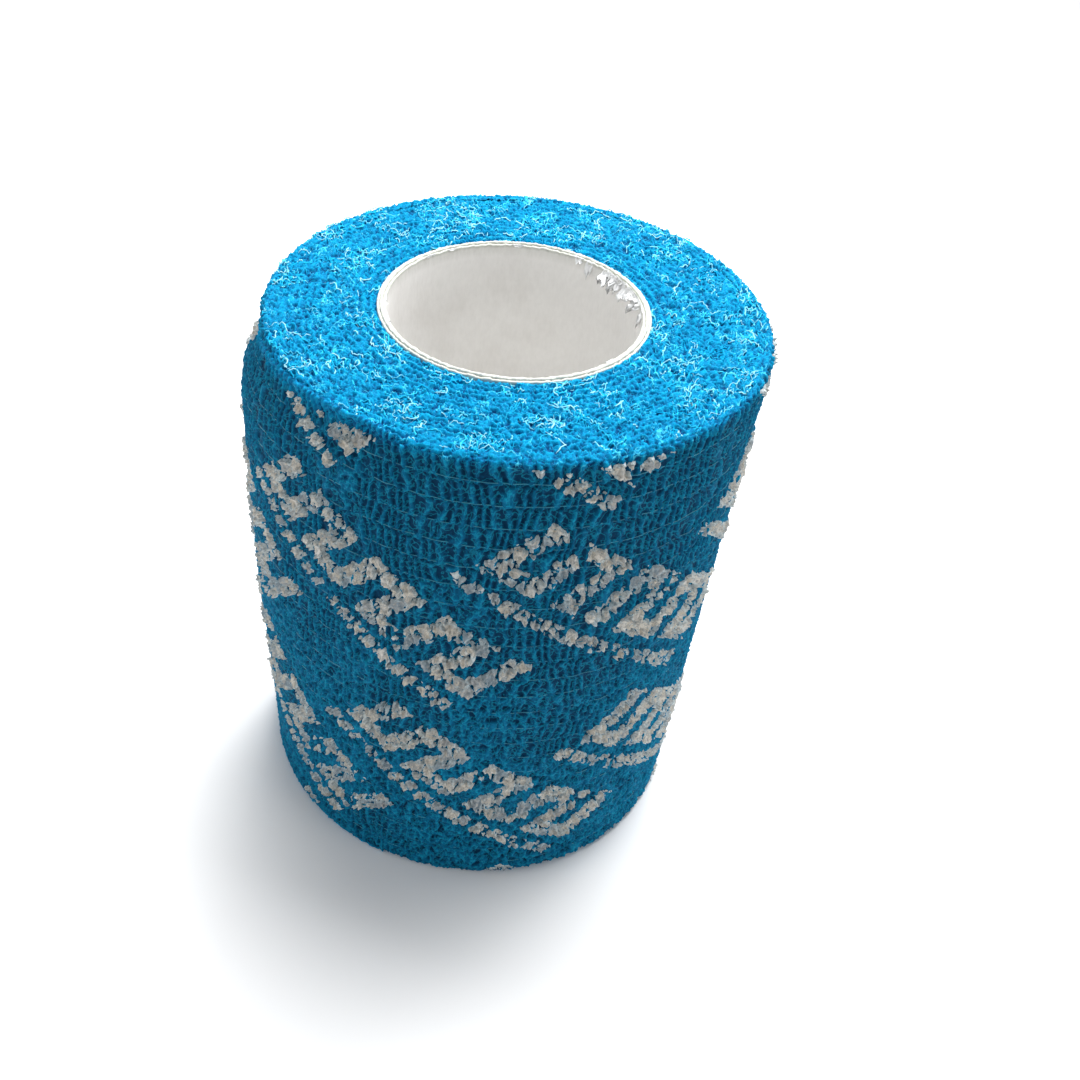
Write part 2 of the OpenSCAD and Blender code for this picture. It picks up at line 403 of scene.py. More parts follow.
def cut_edge_and_highlight(path):
    """1 on the strip's cut edges, falling to 0 down its face, for their paler fluff and a
    painted highlight: over EDGE_GLOW millimetres at the top, where the rim is lit, and over less
    at the base, which gets no painted highlight."""
    return np.maximum(step(EDGE_GLOW, 0.1, STRIP_WIDTH - path), step(0.3, -0.3, path))


def make_side():
    """The last turn as crinkled panels, and the print on it as two objects."""
    panels, inks = [], []
    edges = np.linspace(0, TURN_LEN, SIDE_PANELS + 1)
    half = SIDE_PANELS // 2
    for k in range(SIDE_PANELS):
        rows, cols, s, path = side_grid(edges[k], edges[k + 1])
        height = side_crinkle(s, path)
        points = side_point(s, path, proud(height))
        faces, uv = grid_faces(rows, cols), grid_uv(rows, cols)
        # crest drives the fabric's painted crease shade and crest highlight, and the cut-edge
        # mask its painted rim highlight
        panels.append(new_object(f"wrap_side_{k + 1}", points, faces, uv,
                                 {"crest": height, "cut_edge_and_highlight": cut_edge_and_highlight(path)}))
        inside, top, value = chips(s, path, height)
        behind_tail = (s > TURN_LEN - COVERED_LEN) & (path > STRIP_WIDTH - BARE_TOP)
        inside = np.where(behind_tail, -1, inside)
        ink_points = side_point(s, path, ink_proud(height, inside, top))
        share = k % half / half
        ink_uv = grid_uv(rows, cols, (share, 0), (share + 1 / half, 1))
        keep = (inside[faces] > -INK_SKIRT).any(1)
        ink_points, ink_faces, (ink_uv, inside, value) = keep_faces(
            ink_points, faces, keep, ink_uv, inside, value)
        inks.append((ink_points, ink_faces, ink_uv, {"edge": inside, "chip": value}))
    ink_objects = [new_object(f"print_side_{n + 1}", *joined(inks[n * half:(n + 1) * half]))
                   for n in range(2)]
    return panels, ink_objects


# ---------------------------------------------------------------- top and base of the roll
def turn_phase(radius, turn):
    """Which turn a point of the end face lies in, as a number that grows by 1 each turn."""
    return (radius - ROOT_R) / TURN_PITCH + turn


def end_crinkle(x, y):
    """Height of the squiggly cut edges on an end face, 0 in the pits to 1 on the crests."""
    radius = np.hypot(x, y)
    turn = np.mod(np.arctan2(y, x) - ROOT_ANGLE, 2 * np.pi) / (2 * np.pi)
    warp = noise(x / 1.2, y / 1.2, 41)
    sway = noise(x / 0.8 + 17, y / 0.8, 42)
    worms = crest(2.6 * noise((radius + 0.3 * warp) / 0.62,
                              turn * NOISE_CELLS + 0.55 * sway, 43), 0.16)
    fine = crest(2.4 * noise(x / 0.52, y / 0.52, 44), 0.2)
    phase = turn_phase(radius, turn) + 0.3 * warp + 0.16 * sway
    layers = 0.5 + 0.5 * np.cos(2 * np.pi * phase)
    near_core = step(7.0, 0.5, radius - CORE_R)
    height = 0.46 * worms + 0.28 * fine + 0.26 * layers
    height = mix(height, 0.6 * height + 0.4 * layers, near_core)
    pits = step(0.3, 0.62, noise(x / 1.3, y / 1.3, 46))
    return np.clip(height - 0.5 * pits, 0, 1.1)


END_DEPTH = 0.6         # from the pits of an end face to its crests
END_PROUD = 0.05        # how far the crests stand above the smooth CAD face
END_LAP = 0.5           # how far an end face runs under the side panels' rims
LAP_DIP = 0.3           # how far it dips there
TYPICAL_R = 0.8         # share of the roll's radius at which the mesh spacing is met
TOP_SECTORS, TOP_STEP = 2, 0.13         # pieces, and their mesh spacing
BASE_SECTORS, BASE_STEP = 1, 0.2


def end_height(x, y):
    """Height of the top face above the base, with a dip round the core."""
    dip = 0.1 * step(1.0, 0.1, np.hypot(x, y) - CORE_R)
    swell = 0.22 * noise(x / 9, y / 9, 47)
    return STRIP_WIDTH + END_PROUD - END_DEPTH * (1 - end_crinkle(x, y)) - dip + swell


def make_end(name, top, spacing, sectors):
    """The top face in sectors, or the base as its mirror image, pressed flat."""
    made = []
    inner = CORE_R - 0.02
    for k in range(sectors):
        sweep = 2 * math.pi / sectors
        cols = int(sweep * MEAN_R * TYPICAL_R / spacing) + 1
        rows = int((MEAN_R - inner) / spacing) + 1
        share, turn = np.meshgrid(np.linspace(0, 1, rows), np.linspace(0, 1, cols),
                                  indexing="ij")
        angle = ROOT_ANGLE + (k + turn) * sweep
        outer = side_radius((angle - ROOT_ANGLE) * MEAN_R) - RIM_REACH + END_LAP
        radius = mix(inner, outer, share)
        x, y = (radius * np.cos(angle)).ravel(), (radius * np.sin(angle)).ravel()
        z = end_height(x, y) - LAP_DIP * step(0.95, 1.0, share.ravel())
        faces = grid_faces(rows, cols)
        if not top:
            z = np.maximum(STRIP_WIDTH - z, 0)
            faces = faces[:, ::-1]
        # crest drives the fabric's painted shade in the pits and highlight on the crests
        made.append(new_object(f"{name}_{k + 1}", np.stack([x, y, z], -1), faces,
                               grid_uv(rows, cols),
                               {"crest": end_crinkle(x, y), "cut_edge_and_highlight": np.ones(len(x))}))
    return made


# ---------------------------------------------------------------- strands
TIP_SHARE = 0.35        # radius of a strand at its two tips, as a share of its own


def strands(name, paths, radii, sides, tints=None):
    """Thin tubes along paths, an array of (strands, points, 3), drawn in at their tips, which
    are left open."""
    count, length = paths.shape[:2]
    along = np.gradient(paths, axis=1)
    along /= np.linalg.norm(along, axis=2, keepdims=True) + 1e-9
    helper = np.where(np.abs(along[..., 2:]) < 0.8, [0.0, 0.0, 1.0], [1.0, 0.0, 0.0])
    side = np.cross(along, helper)
    side /= np.linalg.norm(side, axis=2, keepdims=True) + 1e-9
    up = np.cross(side, along)
    taper = np.ones(length)
    taper[0] = taper[-1] = TIP_SHARE
    turn = np.arange(sides) * 2 * np.pi / sides
    ring = (side[:, :, None] * np.cos(turn)[:, None] + up[:, :, None] * np.sin(turn)[:, None])
    points = paths[:, :, None] + ring * (radii[:, None] * taper)[:, :, None, None]
    faces = grid_faces(length, sides, wrap=True)
    all_faces = (faces[None] + (np.arange(count) * length * sides)[:, None, None]).reshape(-1, 4)
    per_row = math.ceil(math.sqrt(count))
    cell = np.stack([np.arange(count) % per_row, np.arange(count) // per_row], -1) / per_row
    local = grid_uv(length, sides, (0, 0), (1 / per_row, 1 / per_row), 0.1 / per_row)
    uv = (cell[:, None] + local[None]).reshape(-1, 2)
    tint = np.zeros(count) if tints is None else tints
    return new_object(name, points.reshape(-1, 3), all_faces, uv,
                      {"tint": np.repeat(tint, length * sides)})


def thread_level(s, index):
    """How high a thread lies in the crinkle, from 0 in the creases to 1 on the crests."""
    return 0.34 + 0.04 * index / THREADS + 0.34 * noise(s / 2.2, index * 2.3, 22)


def make_threads():
    """The threads as thin rings that show where they bridge the hollows."""
    points_each = 620
    s = np.linspace(0, TURN_LEN, points_each)
    index = np.arange(1, THREADS + 1)
    grid_s, grid_i = np.meshgrid(s, index)
    z = thread_line(grid_s, grid_i)
    level = thread_level(grid_s, grid_i)
    paths = side_point(grid_s.ravel(), z.ravel(), proud(level).ravel())
    return strands("elastane_threads_side", paths.reshape(THREADS, points_each, 3),
                   np.full(THREADS, THREAD_R), THREAD_SIDES)


def make_top_fibres():
    """Frayed fibres that lie in squiggles on the top face, many of them along the turns.
    More are tried than wanted, and those in the densest clusters are kept."""
    rng = np.random.default_rng(51)
    wanted, tried, points_each = 1700, 5100, 12
    radius = np.sqrt(rng.uniform((CORE_R + 0.2) ** 2, (ROOT_R - 1.2) ** 2, tried))
    angle = rng.uniform(0, 2 * np.pi, tried)
    x, y = radius * np.cos(angle), radius * np.sin(angle)
    cluster = 0.5 + 0.9 * noise(x / 4.5, y / 4.5, 52) + 0.5 * noise(x / 1.5, y / 1.5, 53)
    chosen = np.argsort(-(cluster + 0.55 * rng.random(tried)))[:wanted]
    x, y, angle = x[chosen], y[chosen], angle[chosen]
    concentric = rng.random(wanted) < 0.55
    heading = np.where(concentric, angle + np.pi / 2 + rng.normal(0, 0.45, wanted),
                       rng.uniform(0, 2 * np.pi, wanted))
    length = rng.uniform(0.8, 3.2, wanted) * np.where(rng.random(wanted) < 0.05, 1.8, 1)
    paths = np.zeros((wanted, points_each, 3))
    for k in range(points_each):
        paths[:, k, 0], paths[:, k, 1] = x, y
        heading = heading + rng.normal(0, 0.5, wanted)
        x = x + np.cos(heading) * length / points_each
        y = y + np.sin(heading) * length / points_each
    flat = paths.reshape(-1, 3)
    reach = np.hypot(flat[:, 0], flat[:, 1])
    flat[:, :2] *= (np.clip(reach, CORE_R + 0.1, ROOT_R - 1.3) / reach)[:, None]
    flat[:, 2] = end_height(flat[:, 0], flat[:, 1]) + 0.02 + 0.09 * rng.random(len(flat))
    radii = rng.uniform(0.04, 0.09, wanted)
    tints = rng.random(wanted)
    return strands("top_fibres", flat.reshape(wanted, points_each, 3), radii, FIBRE_SIDES,
                   tints)


# ---------------------------------------------------------------- the loose tail
TAIL_DROP = 3.2         # how far the top edge has drawn down at the free end
TAIL_SKIN = 0.8         # thickness of the tail with its crinkle
TAIL_STEP = 0.16        # mesh spacing of its webs and print
YARN_STEP = 0.35        # and of its threads
EDGE_ROWS = 8           # points round each of its edges
TAIL_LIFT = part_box("tail_1_face_web")[0].z / MM


def roll_radius_under(angle):
    """Radius of the roll's face under the tail."""
    return side_radius(TURN_LEN - (ROOT_ANGLE - angle) * MEAN_R)


def tail_flare(share):
    """How much of the tail's gap is open at a share of its height: the top edge leans in to
    the rim, and the lower third lies against the roll."""
    return step(1.0, 0.86, share) * step(-0.05, 0.62, share)


def tail_point(s, path, out):
    """Point on the tail's outer face, -s millimetres from the root and path up the strip."""
    turn = ROOT_ANGLE + s / TAIL_R
    x = TAIL_CENTRE[0] + TAIL_R * np.cos(turn)
    y = TAIL_CENTRE[1] + TAIL_R * np.sin(turn)
    angle = np.mod(np.arctan2(y, x), 2 * np.pi)
    share = path / STRIP_WIDTH
    pressed = step(0.9, 0.99, share) * step(0, 5, -s)
    against = roll_radius_under(angle) + mix(TURN_PITCH, 0.3 * TURN_PITCH, pressed)
    radius = against + (np.hypot(x, y) - against) * tail_flare(share) + out
    top = STRIP_WIDTH - TAIL_DROP * step(0, 1.15, -s / TAIL_LEN)
    height = TAIL_LIFT + (top - TAIL_LIFT) * share
    return np.stack([radius * np.cos(angle), radius * np.sin(angle), height], -1)


def tail_spans():
    """The tail's pieces as (number, s at the start, s at the end, body at the start, body at
    the end). A piece reaches from the middle of one segment to the middle of the next, over
    a hinge. The first starts at the root, and the last has only the free end's body."""
    for k in range(SEGMENTS + 1):
        start = -max(k - 0.5, 0) * SEGMENT_LEN
        end = -min(k + 0.5, SEGMENTS) * SEGMENT_LEN
        first = "roll" if k == 0 else f"tail_{k}"
        yield k + 1, start, end, first, f"tail_{k + 1}" if k < SEGMENTS else None


def follow_tail(made, first, second):
    """Rides the last piece of the tail on its segment; any other piece keeps its place, baked
    into its mesh, and rides on no body.
    """
    if second is None:
        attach(made, first)
        return
    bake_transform(made)


def make_tail_web(number, start, end):
    """One closed stretch of the tail: its crinkled face, its edges and its back. Its cut
    ends are flat-shaded, so that they leave the shading of the face and back alone."""
    cols = int((start - end) / TAIL_STEP) + 2
    face = np.linspace(0, STRIP_WIDTH, int(STRIP_WIDTH / TAIL_STEP))
    turn = np.linspace(0, np.pi, EDGE_ROWS)[1:-1]
    round_over = 0.5 - 0.5 * np.cos(turn)
    bulge = TAIL_SKIN / 2 * np.sin(turn)
    path = np.concatenate([face, STRIP_WIDTH + bulge, face[::-1], -bulge])
    depth = np.concatenate([0 * face, round_over, 0 * face + 1, round_over[::-1]])
    path, s = np.meshgrid(path, np.linspace(start, end, cols), indexing="ij")
    depth = np.repeat(depth[:, None], cols, 1)
    height = crinkle(s, path)
    inner = -TAIL_SKIN + 0.4 * (height - 0.5)
    points = tail_point(s, path, mix(proud(height), inner, depth)).reshape(-1, 3)
    rows = len(path)
    ring = grid_faces(rows + 1, cols)[:, ::-1]
    ring = np.where(ring >= rows * cols, ring - rows * cols, ring)
    order = np.roll(np.arange(rows), len(turn) // 2)
    front, rear = order[:rows // 2], order[rows // 2:][::-1]
    cap = np.stack([front[:-1], front[1:], rear[1:], rear[:-1]], -1) * cols
    faces = np.concatenate([ring, cap[:, ::-1], cap + cols - 1])
    smooth = np.arange(len(faces)) < len(ring)
    # crest drives the fabric's painted crease shade and crest highlight, and the cut-edge mask
    # its painted rim highlight
    return new_object(f"tail_web_{number}", points, faces, grid_uv(rows, cols),
                      {"crest": mix(height, 0.5, 0.4 * depth).ravel(),
                       "cut_edge_and_highlight": cut_edge_and_highlight(path).ravel()}, smooth)


def make_tail_print(number, start, end):
    """The print on one stretch of the tail."""
    cols = int((start - end) / TAIL_STEP) + 2
    rows = int(STRIP_WIDTH / TAIL_STEP)
    path, s = np.meshgrid(np.linspace(0, STRIP_WIDTH, rows), np.linspace(start, end, cols),
                          indexing="ij")
    path, s = path.ravel(), s.ravel()
    height = crinkle(s, path)
    inside, top, value = chips(s, path, height)
    points = tail_point(s, path, ink_proud(height, inside, top))
    faces = grid_faces(rows, cols)[:, ::-1]
    keep = (inside[faces] > -INK_SKIRT).any(1)
    points, faces, (uv, inside, value) = keep_faces(
        points, faces, keep, grid_uv(rows, cols), inside, value)
    return new_object(f"tail_print_{number}", points, faces, uv,
                      {"edge": inside, "chip": value})


def make_tail_threads(number, start, end):
    """The threads of one stretch of the tail, where they show on its face."""
    points_each = int((start - end) / YARN_STEP) + 2
    s, index = np.meshgrid(np.linspace(start, end, points_each), np.arange(1, THREADS + 1))
    level = thread_level(s, index)
    paths = tail_point(s, thread_line(s, index), proud(level))
    return strands(f"tail_threads_{number}", paths, np.full(THREADS, THREAD_R), THREAD_SIDES)


# ---------------------------------------------------------------- the paper core
# Each ply's node in the CAD, and how far its worn top edge stands above the cut.
CORE_PLIES = [("core_inner_ply", -0.12), ("core_middle_ply", 0.06), ("core_outer_ply", -0.1)]
WALL_ROWS, PLY_COLS = 60, 720   # mesh points up each wall and round it


def make_ply(number, node, lift):
    """One ply of the core's wall as a closed tube, its top edge worn and slightly uneven."""
    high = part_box(node)[1] / MM
    ply_t = (CORE_R - BORE_R) / len(CORE_PLIES)
    outer = high.x
    round_r = ply_t * 0.45
    turn = np.linspace(0, np.pi / 2, 4)
    inside = np.concatenate([np.full(WALL_ROWS, ply_t),
                             ply_t - round_r + round_r * np.cos(turn),
                             round_r - round_r * np.cos(turn[::-1]),
                             np.zeros(WALL_ROWS)])
    rise = np.concatenate([np.linspace(0.2, high.z - 0.5, WALL_ROWS),
                           high.z - round_r + round_r * np.sin(turn)])
    rise = np.concatenate([rise, rise[::-1]])
    angle = np.linspace(0, 2 * np.pi, PLY_COLS, endpoint=False)
    inside, angle = np.meshgrid(inside, angle, indexing="ij")
    rise = np.repeat(rise[:, None], PLY_COLS, 1)
    x, y = np.cos(angle), np.sin(angle)
    near_top = step(high.z - 1.6, high.z, rise)
    ragged = 0.1 * noise(x * 21, y * 21, 61 + number) + 0.07 * noise(x * 60, y * 60, 64 + number)
    fray = 0.05 * noise(x * 40, y * 40 + rise, 67 + number) * near_top
    radius = outer - inside + fray * (inside > 0.6 * ply_t)
    height = rise + near_top * (lift + ragged)
    points = np.stack([radius * x, radius * y, height], -1).reshape(-1, 3)
    rows = len(rise)
    faces = grid_faces(rows, PLY_COLS, wrap=True)
    rim = np.arange(PLY_COLS)
    after, last_row = (rim + 1) % PLY_COLS, (rows - 1) * PLY_COLS
    base = np.stack([rim, last_row + rim, last_row + after, after], -1)
    faces = np.concatenate([faces[:, ::-1], base[:, ::-1]])
    return new_object(f"core_ply_{number}", points, faces, grid_uv(rows, PLY_COLS),
                      {"rim": step(high.z - 0.7, high.z - 0.2, rise).ravel()})


SCRAPS = 46
SCRAP_POINTS = 7        # along each side of a scrap's grid
SCRAP_T = 0.07          # thickness
TORN_PLACE = (30, 13)   # middle and spread of the torn patch round the bore, in degrees


def make_scraps():
    """Torn bits of the inner ply that hang from its edge inside the bore: three in four of
    them in one torn patch, the others small and all round."""
    rng = np.random.default_rng(71)
    parts, size = [], SCRAP_POINTS
    for k in range(SCRAPS):
        torn = k % 4 > 0
        angle = math.radians(rng.normal(*TORN_PLACE) if torn else rng.uniform(0, 360))
        v, u = np.meshgrid(np.linspace(0, 1, size), np.linspace(-0.5, 0.5, size), indexing="ij")
        length = rng.uniform(0.5, 2.2) if torn else rng.uniform(0.2, 0.5)
        width = rng.uniform(0.6, 1.9) * (1 - 0.5 * v)
        curl = rng.uniform(0.5, 1.9)
        across = u * width + 0.16 * noise(u * 3 + k, v * 3, 72)
        drop = np.sin(curl * v) / curl * length
        inward = (1 - np.cos(curl * v)) / curl * length + 0.12 * noise(u * 4, v * 4 + k, 73)
        radius = BORE_R + 0.04 - inward
        turn = angle + across / BORE_R
        height = STRIP_WIDTH - 0.05 - drop * (1 + 0.8 * noise(u * 4 + k, v * 0, 74))
        front = np.stack([radius * np.cos(turn), radius * np.sin(turn), height], -1)
        back = front + [SCRAP_T * math.cos(angle), SCRAP_T * math.sin(angle), 0.0]
        points = np.concatenate([front.reshape(-1, 3), back.reshape(-1, 3)])
        sheet = grid_faces(size, size)
        corner = size * size - 1
        edge = np.concatenate([np.arange(size), np.arange(2, size) * size - 1,
                               np.arange(corner, corner - size, -1),
                               np.arange(size - 2, 0, -1) * size])
        after = np.roll(edge, -1)
        wall = np.stack([edge, after, after + size * size, edge + size * size], -1)
        faces = np.concatenate([sheet, sheet[:, ::-1] + size * size, wall[:, ::-1]])
        side = math.ceil(math.sqrt(SCRAPS))
        low = np.array([k % side, k // side]) / side
        uv = grid_uv(size, size, low, low + 1 / side, 0.1 / side)
        parts.append((points, faces, np.concatenate([uv, uv]), {}))
    return new_object("core_scraps", *joined(parts))


# ---------------------------------------------------------------- materials
def colour(red, green, blue):
    """A solid colour, linear."""
    return (red, green, blue, 1.0)


class Shader:
    """A node material built up call by call."""

    def __init__(self, name):
        self.material = bpy.data.materials.new(name)
        self.material.use_nodes = True
        self.tree = self.material.node_tree
        self.bsdf = self.tree.nodes["Principled BSDF"]
        self.place = self.node("ShaderNodeTexCoord").outputs["Object"]

    def feed(self, socket, value):
        """Links a node's output to the socket, or sets it to a plain value."""
        if isinstance(value, bpy.types.NodeSocket):
            self.tree.links.new(value, socket)
        else:
            socket.default_value = value

    def node(self, kind, **inputs):
        """A new node, with the inputs named here fed."""
        made = self.tree.nodes.new(kind)
        for key, value in inputs.items():
            self.feed(made.inputs[key.replace("_", " ")], value)
        return made

    def set(self, **inputs):
        """Feeds the surface's own inputs."""
        for key, value in inputs.items():
            self.feed(self.bsdf.inputs[key.replace("_", " ")], value)

    def attribute(self, name):
        """One of the mesh's named numbers."""
        made = self.node("ShaderNodeAttribute")
        made.attribute_name = name
        return made.outputs["Fac"]

    def noise(self, size, detail=3.0, rough=0.55, stretch=None):
        """Noise with features about size millimetres across, from 0 to 1."""
        place = self.place
        if stretch:
            place = self.node("ShaderNodeMapping", Vector=place, Scale=stretch).outputs[0]
        return self.node("ShaderNodeTexNoise", Vector=place, Scale=1 / (size * MM),
                         Detail=detail, Roughness=rough).outputs["Fac"]

    def ramp(self, value, *stops):
        """The colour at a value, from stops of (position, colour)."""
        made = self.node("ShaderNodeValToRGB", Fac=value)
        points = made.color_ramp.elements
        while len(points) < len(stops):
            points.new(0.5)
        for point, (at, paint) in zip(points, stops):
            point.position = at
            point.color = paint
        return made.outputs["Color"]

    def math(self, kind, a, b):
        """One operation on two numbers."""
        made = self.tree.nodes.new("ShaderNodeMath")
        made.operation = kind
        for socket, value in zip(made.inputs, (a, b)):
            self.feed(socket, value)
        return made.outputs[0]

    def blend(self, share, a, b, kind="MIX"):
        """Colour a blended with colour b by a share."""
        made = self.tree.nodes.new("ShaderNodeMix")
        made.data_type = "RGBA"
        made.blend_type = kind
        for name, value in (("Factor", share), ("A", a), ("B", b)):
            socket = next(i for i in made.inputs if i.name == name
                          and (i.type == "RGBA" or name == "Factor" and i.type == "VALUE"))
            self.feed(socket, value)
        return next(o for o in made.outputs if o.type == "RGBA")

    def lines(self, size, rough, width, cluster=None, bare=0.5):
        """Thin wandering lines: 0.9 along them, 0 between. With a cluster size they gather in
        clumps of that size in millimetres, and a higher bare value spreads the clumps."""
        field = self.noise(size, 1.5, rough)
        ridge = self.math("ABSOLUTE", self.math("SUBTRACT", field, 0.5), 0.0)
        if cluster:
            clump = self.math("SUBTRACT", self.noise(cluster, 3.0, 0.65), bare)
            width = self.math("MAXIMUM", self.math("MULTIPLY", clump, 3.0 * width), 0.003)
        line = self.math("SUBTRACT", 1.0, self.math("DIVIDE", ridge, width))
        return self.math("MINIMUM", self.math("MAXIMUM", self.math("MULTIPLY", line, 1.6), 0.0),
                         0.9)

    def bump(self, height, distance, strength=1.0):
        """Fine relief from a height between 0 and 1, distance millimetres deep."""
        self.set(Normal=self.node("ShaderNodeBump", Height=height, Distance=distance * MM,
                                  Strength=strength).outputs["Normal"])


def fabric():
    """Crinkled nonwoven, with painted shade in the creases and a painted highlight along the
    crests, and a felt of fine fibres. The cut edges are paler, with a painted highlight along
    the side's lit top rim, and pale squiggles where the web's ends show."""
    shader = Shader("nonwoven")
    fibres = shader.noise(0.2, 5.0, 0.7, (1.0, 1.0, 0.5))
    patches = shader.noise(5.0, 2.0)
    # Mask of the paler cut edges, which also carries the painted highlight along the side's lit
    # top rim
    end = shader.attribute("cut_edge_and_highlight")
    spread = shader.math("MULTIPLY", shader.math("SUBTRACT", fibres, 0.5), 1.2)
    height = shader.math("ADD", shader.attribute("crest"), spread)
    height = shader.math("ADD", height,
                         shader.math("MULTIPLY", shader.math("SUBTRACT", patches, 0.5), 0.25))
    # Painted shade in the creases and painted highlight on the crests, from the crinkle's height
    face = shader.ramp(height, (0.1, colour(0.0, 0.03, 0.076)), (0.5, colour(0.0, 0.09, 0.19)),
                       (0.85, colour(0.0, 0.14, 0.275)), (1.0, colour(0.003, 0.25, 0.4)))
    cobweb = shader.lines(0.8, 0.5, 0.05)
    face = shader.blend(shader.math("MULTIPLY", cobweb, 0.5), face, colour(0.008, 0.28, 0.43))
    squiggle = shader.lines(1.1, 0.62, 0.11, 2.8, 0.52)
    # Painted shade in the pits of the cut edges and painted highlight on their crests, from the
    # crinkle's height
    edge = shader.ramp(height, (0.0, colour(0.0, 0.035, 0.13)), (0.42, colour(0.0, 0.17, 0.37)),
                       (0.95, colour(0.0, 0.28, 0.51)))
    edge = shader.blend(shader.math("MULTIPLY", cobweb, 0.35), edge, colour(0.0, 0.4, 0.66))
    edge = shader.blend(squiggle, edge, colour(0.06, 0.54, 0.76))
    shader.set(Base_Color=shader.blend(end, face, edge), Roughness=0.8)
    shader.set(Specular_IOR_Level=0.08)
    shader.bump(fibres, 0.12, 0.9)
    return shader.material


def ink_material():
    """Raised ink: grey-beige chips, warm or cool by turns, stained blue in the hollows, with a
    painted highlight along their edges and painted shade in thin crease lines."""
    shader = Shader("ink")
    mottle = shader.noise(0.7, 3.0, 0.65)
    fine = shader.noise(0.2, 4.0, 0.7)
    hue = shader.math("ADD", shader.math("MULTIPLY", shader.attribute("chip"), 0.5),
                      shader.math("MULTIPLY", mottle, 0.8))
    paint = shader.ramp(hue, (0.36, colour(0.2, 0.26, 0.3)), (0.55, colour(0.36, 0.37, 0.37)),
                        (0.72, colour(0.51, 0.46, 0.38)), (0.92, colour(0.6, 0.58, 0.54)))
    # Painted highlight: a pale blue-white line along each chip's edge
    edge = shader.ramp(shader.attribute("edge"), (0.02, colour(1, 1, 1)),
                       (0.14, colour(0, 0, 0)))
    paint = shader.blend(shader.math("MULTIPLY", edge, 0.55), paint, colour(0.62, 0.74, 0.78))
    # Painted shade: thin dark lines along creases in the ink
    crease_shade = shader.lines(0.7, 0.6, 0.05)
    paint = shader.blend(shader.math("MULTIPLY", crease_shade, 0.55), paint, colour(0.13, 0.18, 0.21))
    stain = shader.ramp(fine, (0.3, colour(0.5, 0.62, 0.7)), (0.5, colour(1, 1, 1)))
    shader.set(Base_Color=shader.blend(1.0, paint, stain, "MULTIPLY"), Roughness=0.6)
    shader.set(Specular_IOR_Level=0.3)
    shader.bump(fine, 0.12, 1.0)
    return shader.material


def fibre_material():
    """Frayed fibres on the top face, from the fabric's blue to a pale one."""
    shader = Shader("fibres")
    vary = shader.noise(0.8, 2.0)
    tint = shader.math("ADD", shader.attribute("tint"),
                       shader.math("MULTIPLY", shader.math("SUBTRACT", vary, 0.5), 0.5))
    paint = shader.ramp(tint, (0.15, colour(0.0, 0.37, 0.66)), (0.55, colour(0.03, 0.58, 0.81)),
                        (0.95, colour(0.4, 0.8, 0.88)))
    shader.set(Base_Color=paint, Roughness=0.8, Specular_IOR_Level=0.1)
    shader.bump(shader.noise(0.1, 2.0), 0.03, 0.5)
    return shader.material


def thread_material():
    """Elastane, a little paler than the fabric round it."""
    shader = Shader("elastane")
    vary = shader.noise(1.4, 3.0)
    paint = shader.ramp(vary, (0.35, colour(0.0, 0.14, 0.24)), (0.7, colour(0.03, 0.28, 0.4)))
    shader.set(Base_Color=paint, Roughness=0.5)
    shader.bump(shader.noise(0.12, 2.0), 0.03, 0.6)
    return shader.material


# Lit and shaded copies of the core's paper: the rim paper is painted darker to offset the strong
# light on the rim
RIM_PALE = colour(0.56, 0.575, 0.53)
RIM_SHADE = colour(0.47, 0.475, 0.42)


def paper_material(name, pale, shade, grain, smudge=0.0):
    """Paper with a grain of the given size, and with wide smudges by a share. Along the core's
    cut rim it takes the rim paper, painted darker to offset the strong light there."""
    shader = Shader(name)
    fibres = shader.noise(grain, 5.0, 0.65, (1.0, 1.0, 0.4))
    wide = shader.noise(9.0, 3.0)
    paint = shader.ramp(fibres, (0.3, shade), (0.62, pale))
    # Painted shade: the liner's lit top edge takes the darker rim paper
    paint = shader.blend(shader.attribute("rim"), paint,
                         shader.ramp(fibres, (0.3, RIM_SHADE), (0.62, RIM_PALE)))
    spots = shader.ramp(wide, (0.32, colour(0.8, 0.78, 0.76)), (0.5, colour(1, 1, 1)))
    shader.set(Base_Color=shader.blend(smudge, paint, spots, "MULTIPLY"), Roughness=0.75)
    shader.bump(fibres, 0.05, 0.5)
    return shader.material


def wear(made, material, body="roll"):
    """Gives a piece its material and slot, and the body it rides on, unless that is None."""
    made.data.materials.append(material)
    if body:
        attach(made, body)
    return made


# ---------------------------------------------------------------- camera, light and floor
CAMERA_ELEVATION = math.radians(29.22)
CAMERA_DISTANCE = 144.97        # from the middle of the roll's top
CAMERA_TURN = (-15.76, 5.42, 4.87)      # pitch, yaw and roll off that middle, in degrees
SENSOR_WIDTH, LENS = 36, 38.5333
LENS_SHIFT = (0.12963, 0.08426)         # as shares of the picture's width


def make_camera():
    """The camera stands in front and above, and looks down over the near rim."""
    turn = Euler([math.radians(angle) for angle in CAMERA_TURN], "XYZ")
    back = Vector((0, -math.cos(CAMERA_ELEVATION), math.sin(CAMERA_ELEVATION)))
    right = Vector((1, 0, 0))
    up = back.cross(right)
    axes = Matrix((right, up, back)).transposed() @ turn.to_matrix()
    data = bpy.data.cameras.new("camera")
    data.sensor_width = SENSOR_WIDTH
    data.lens = LENS
    data.shift_x, data.shift_y = LENS_SHIFT
    data.clip_start, data.clip_end = 0.005, 20      # metres
    camera = bpy.data.objects.new("camera", data)
    place = back * CAMERA_DISTANCE * MM + Vector((0, 0, STRIP_WIDTH * MM))
    camera.matrix_world = Matrix.Translation(place) @ axes.to_4x4()
    bpy.context.scene.collection.objects.link(camera)
    bpy.context.scene.camera = camera


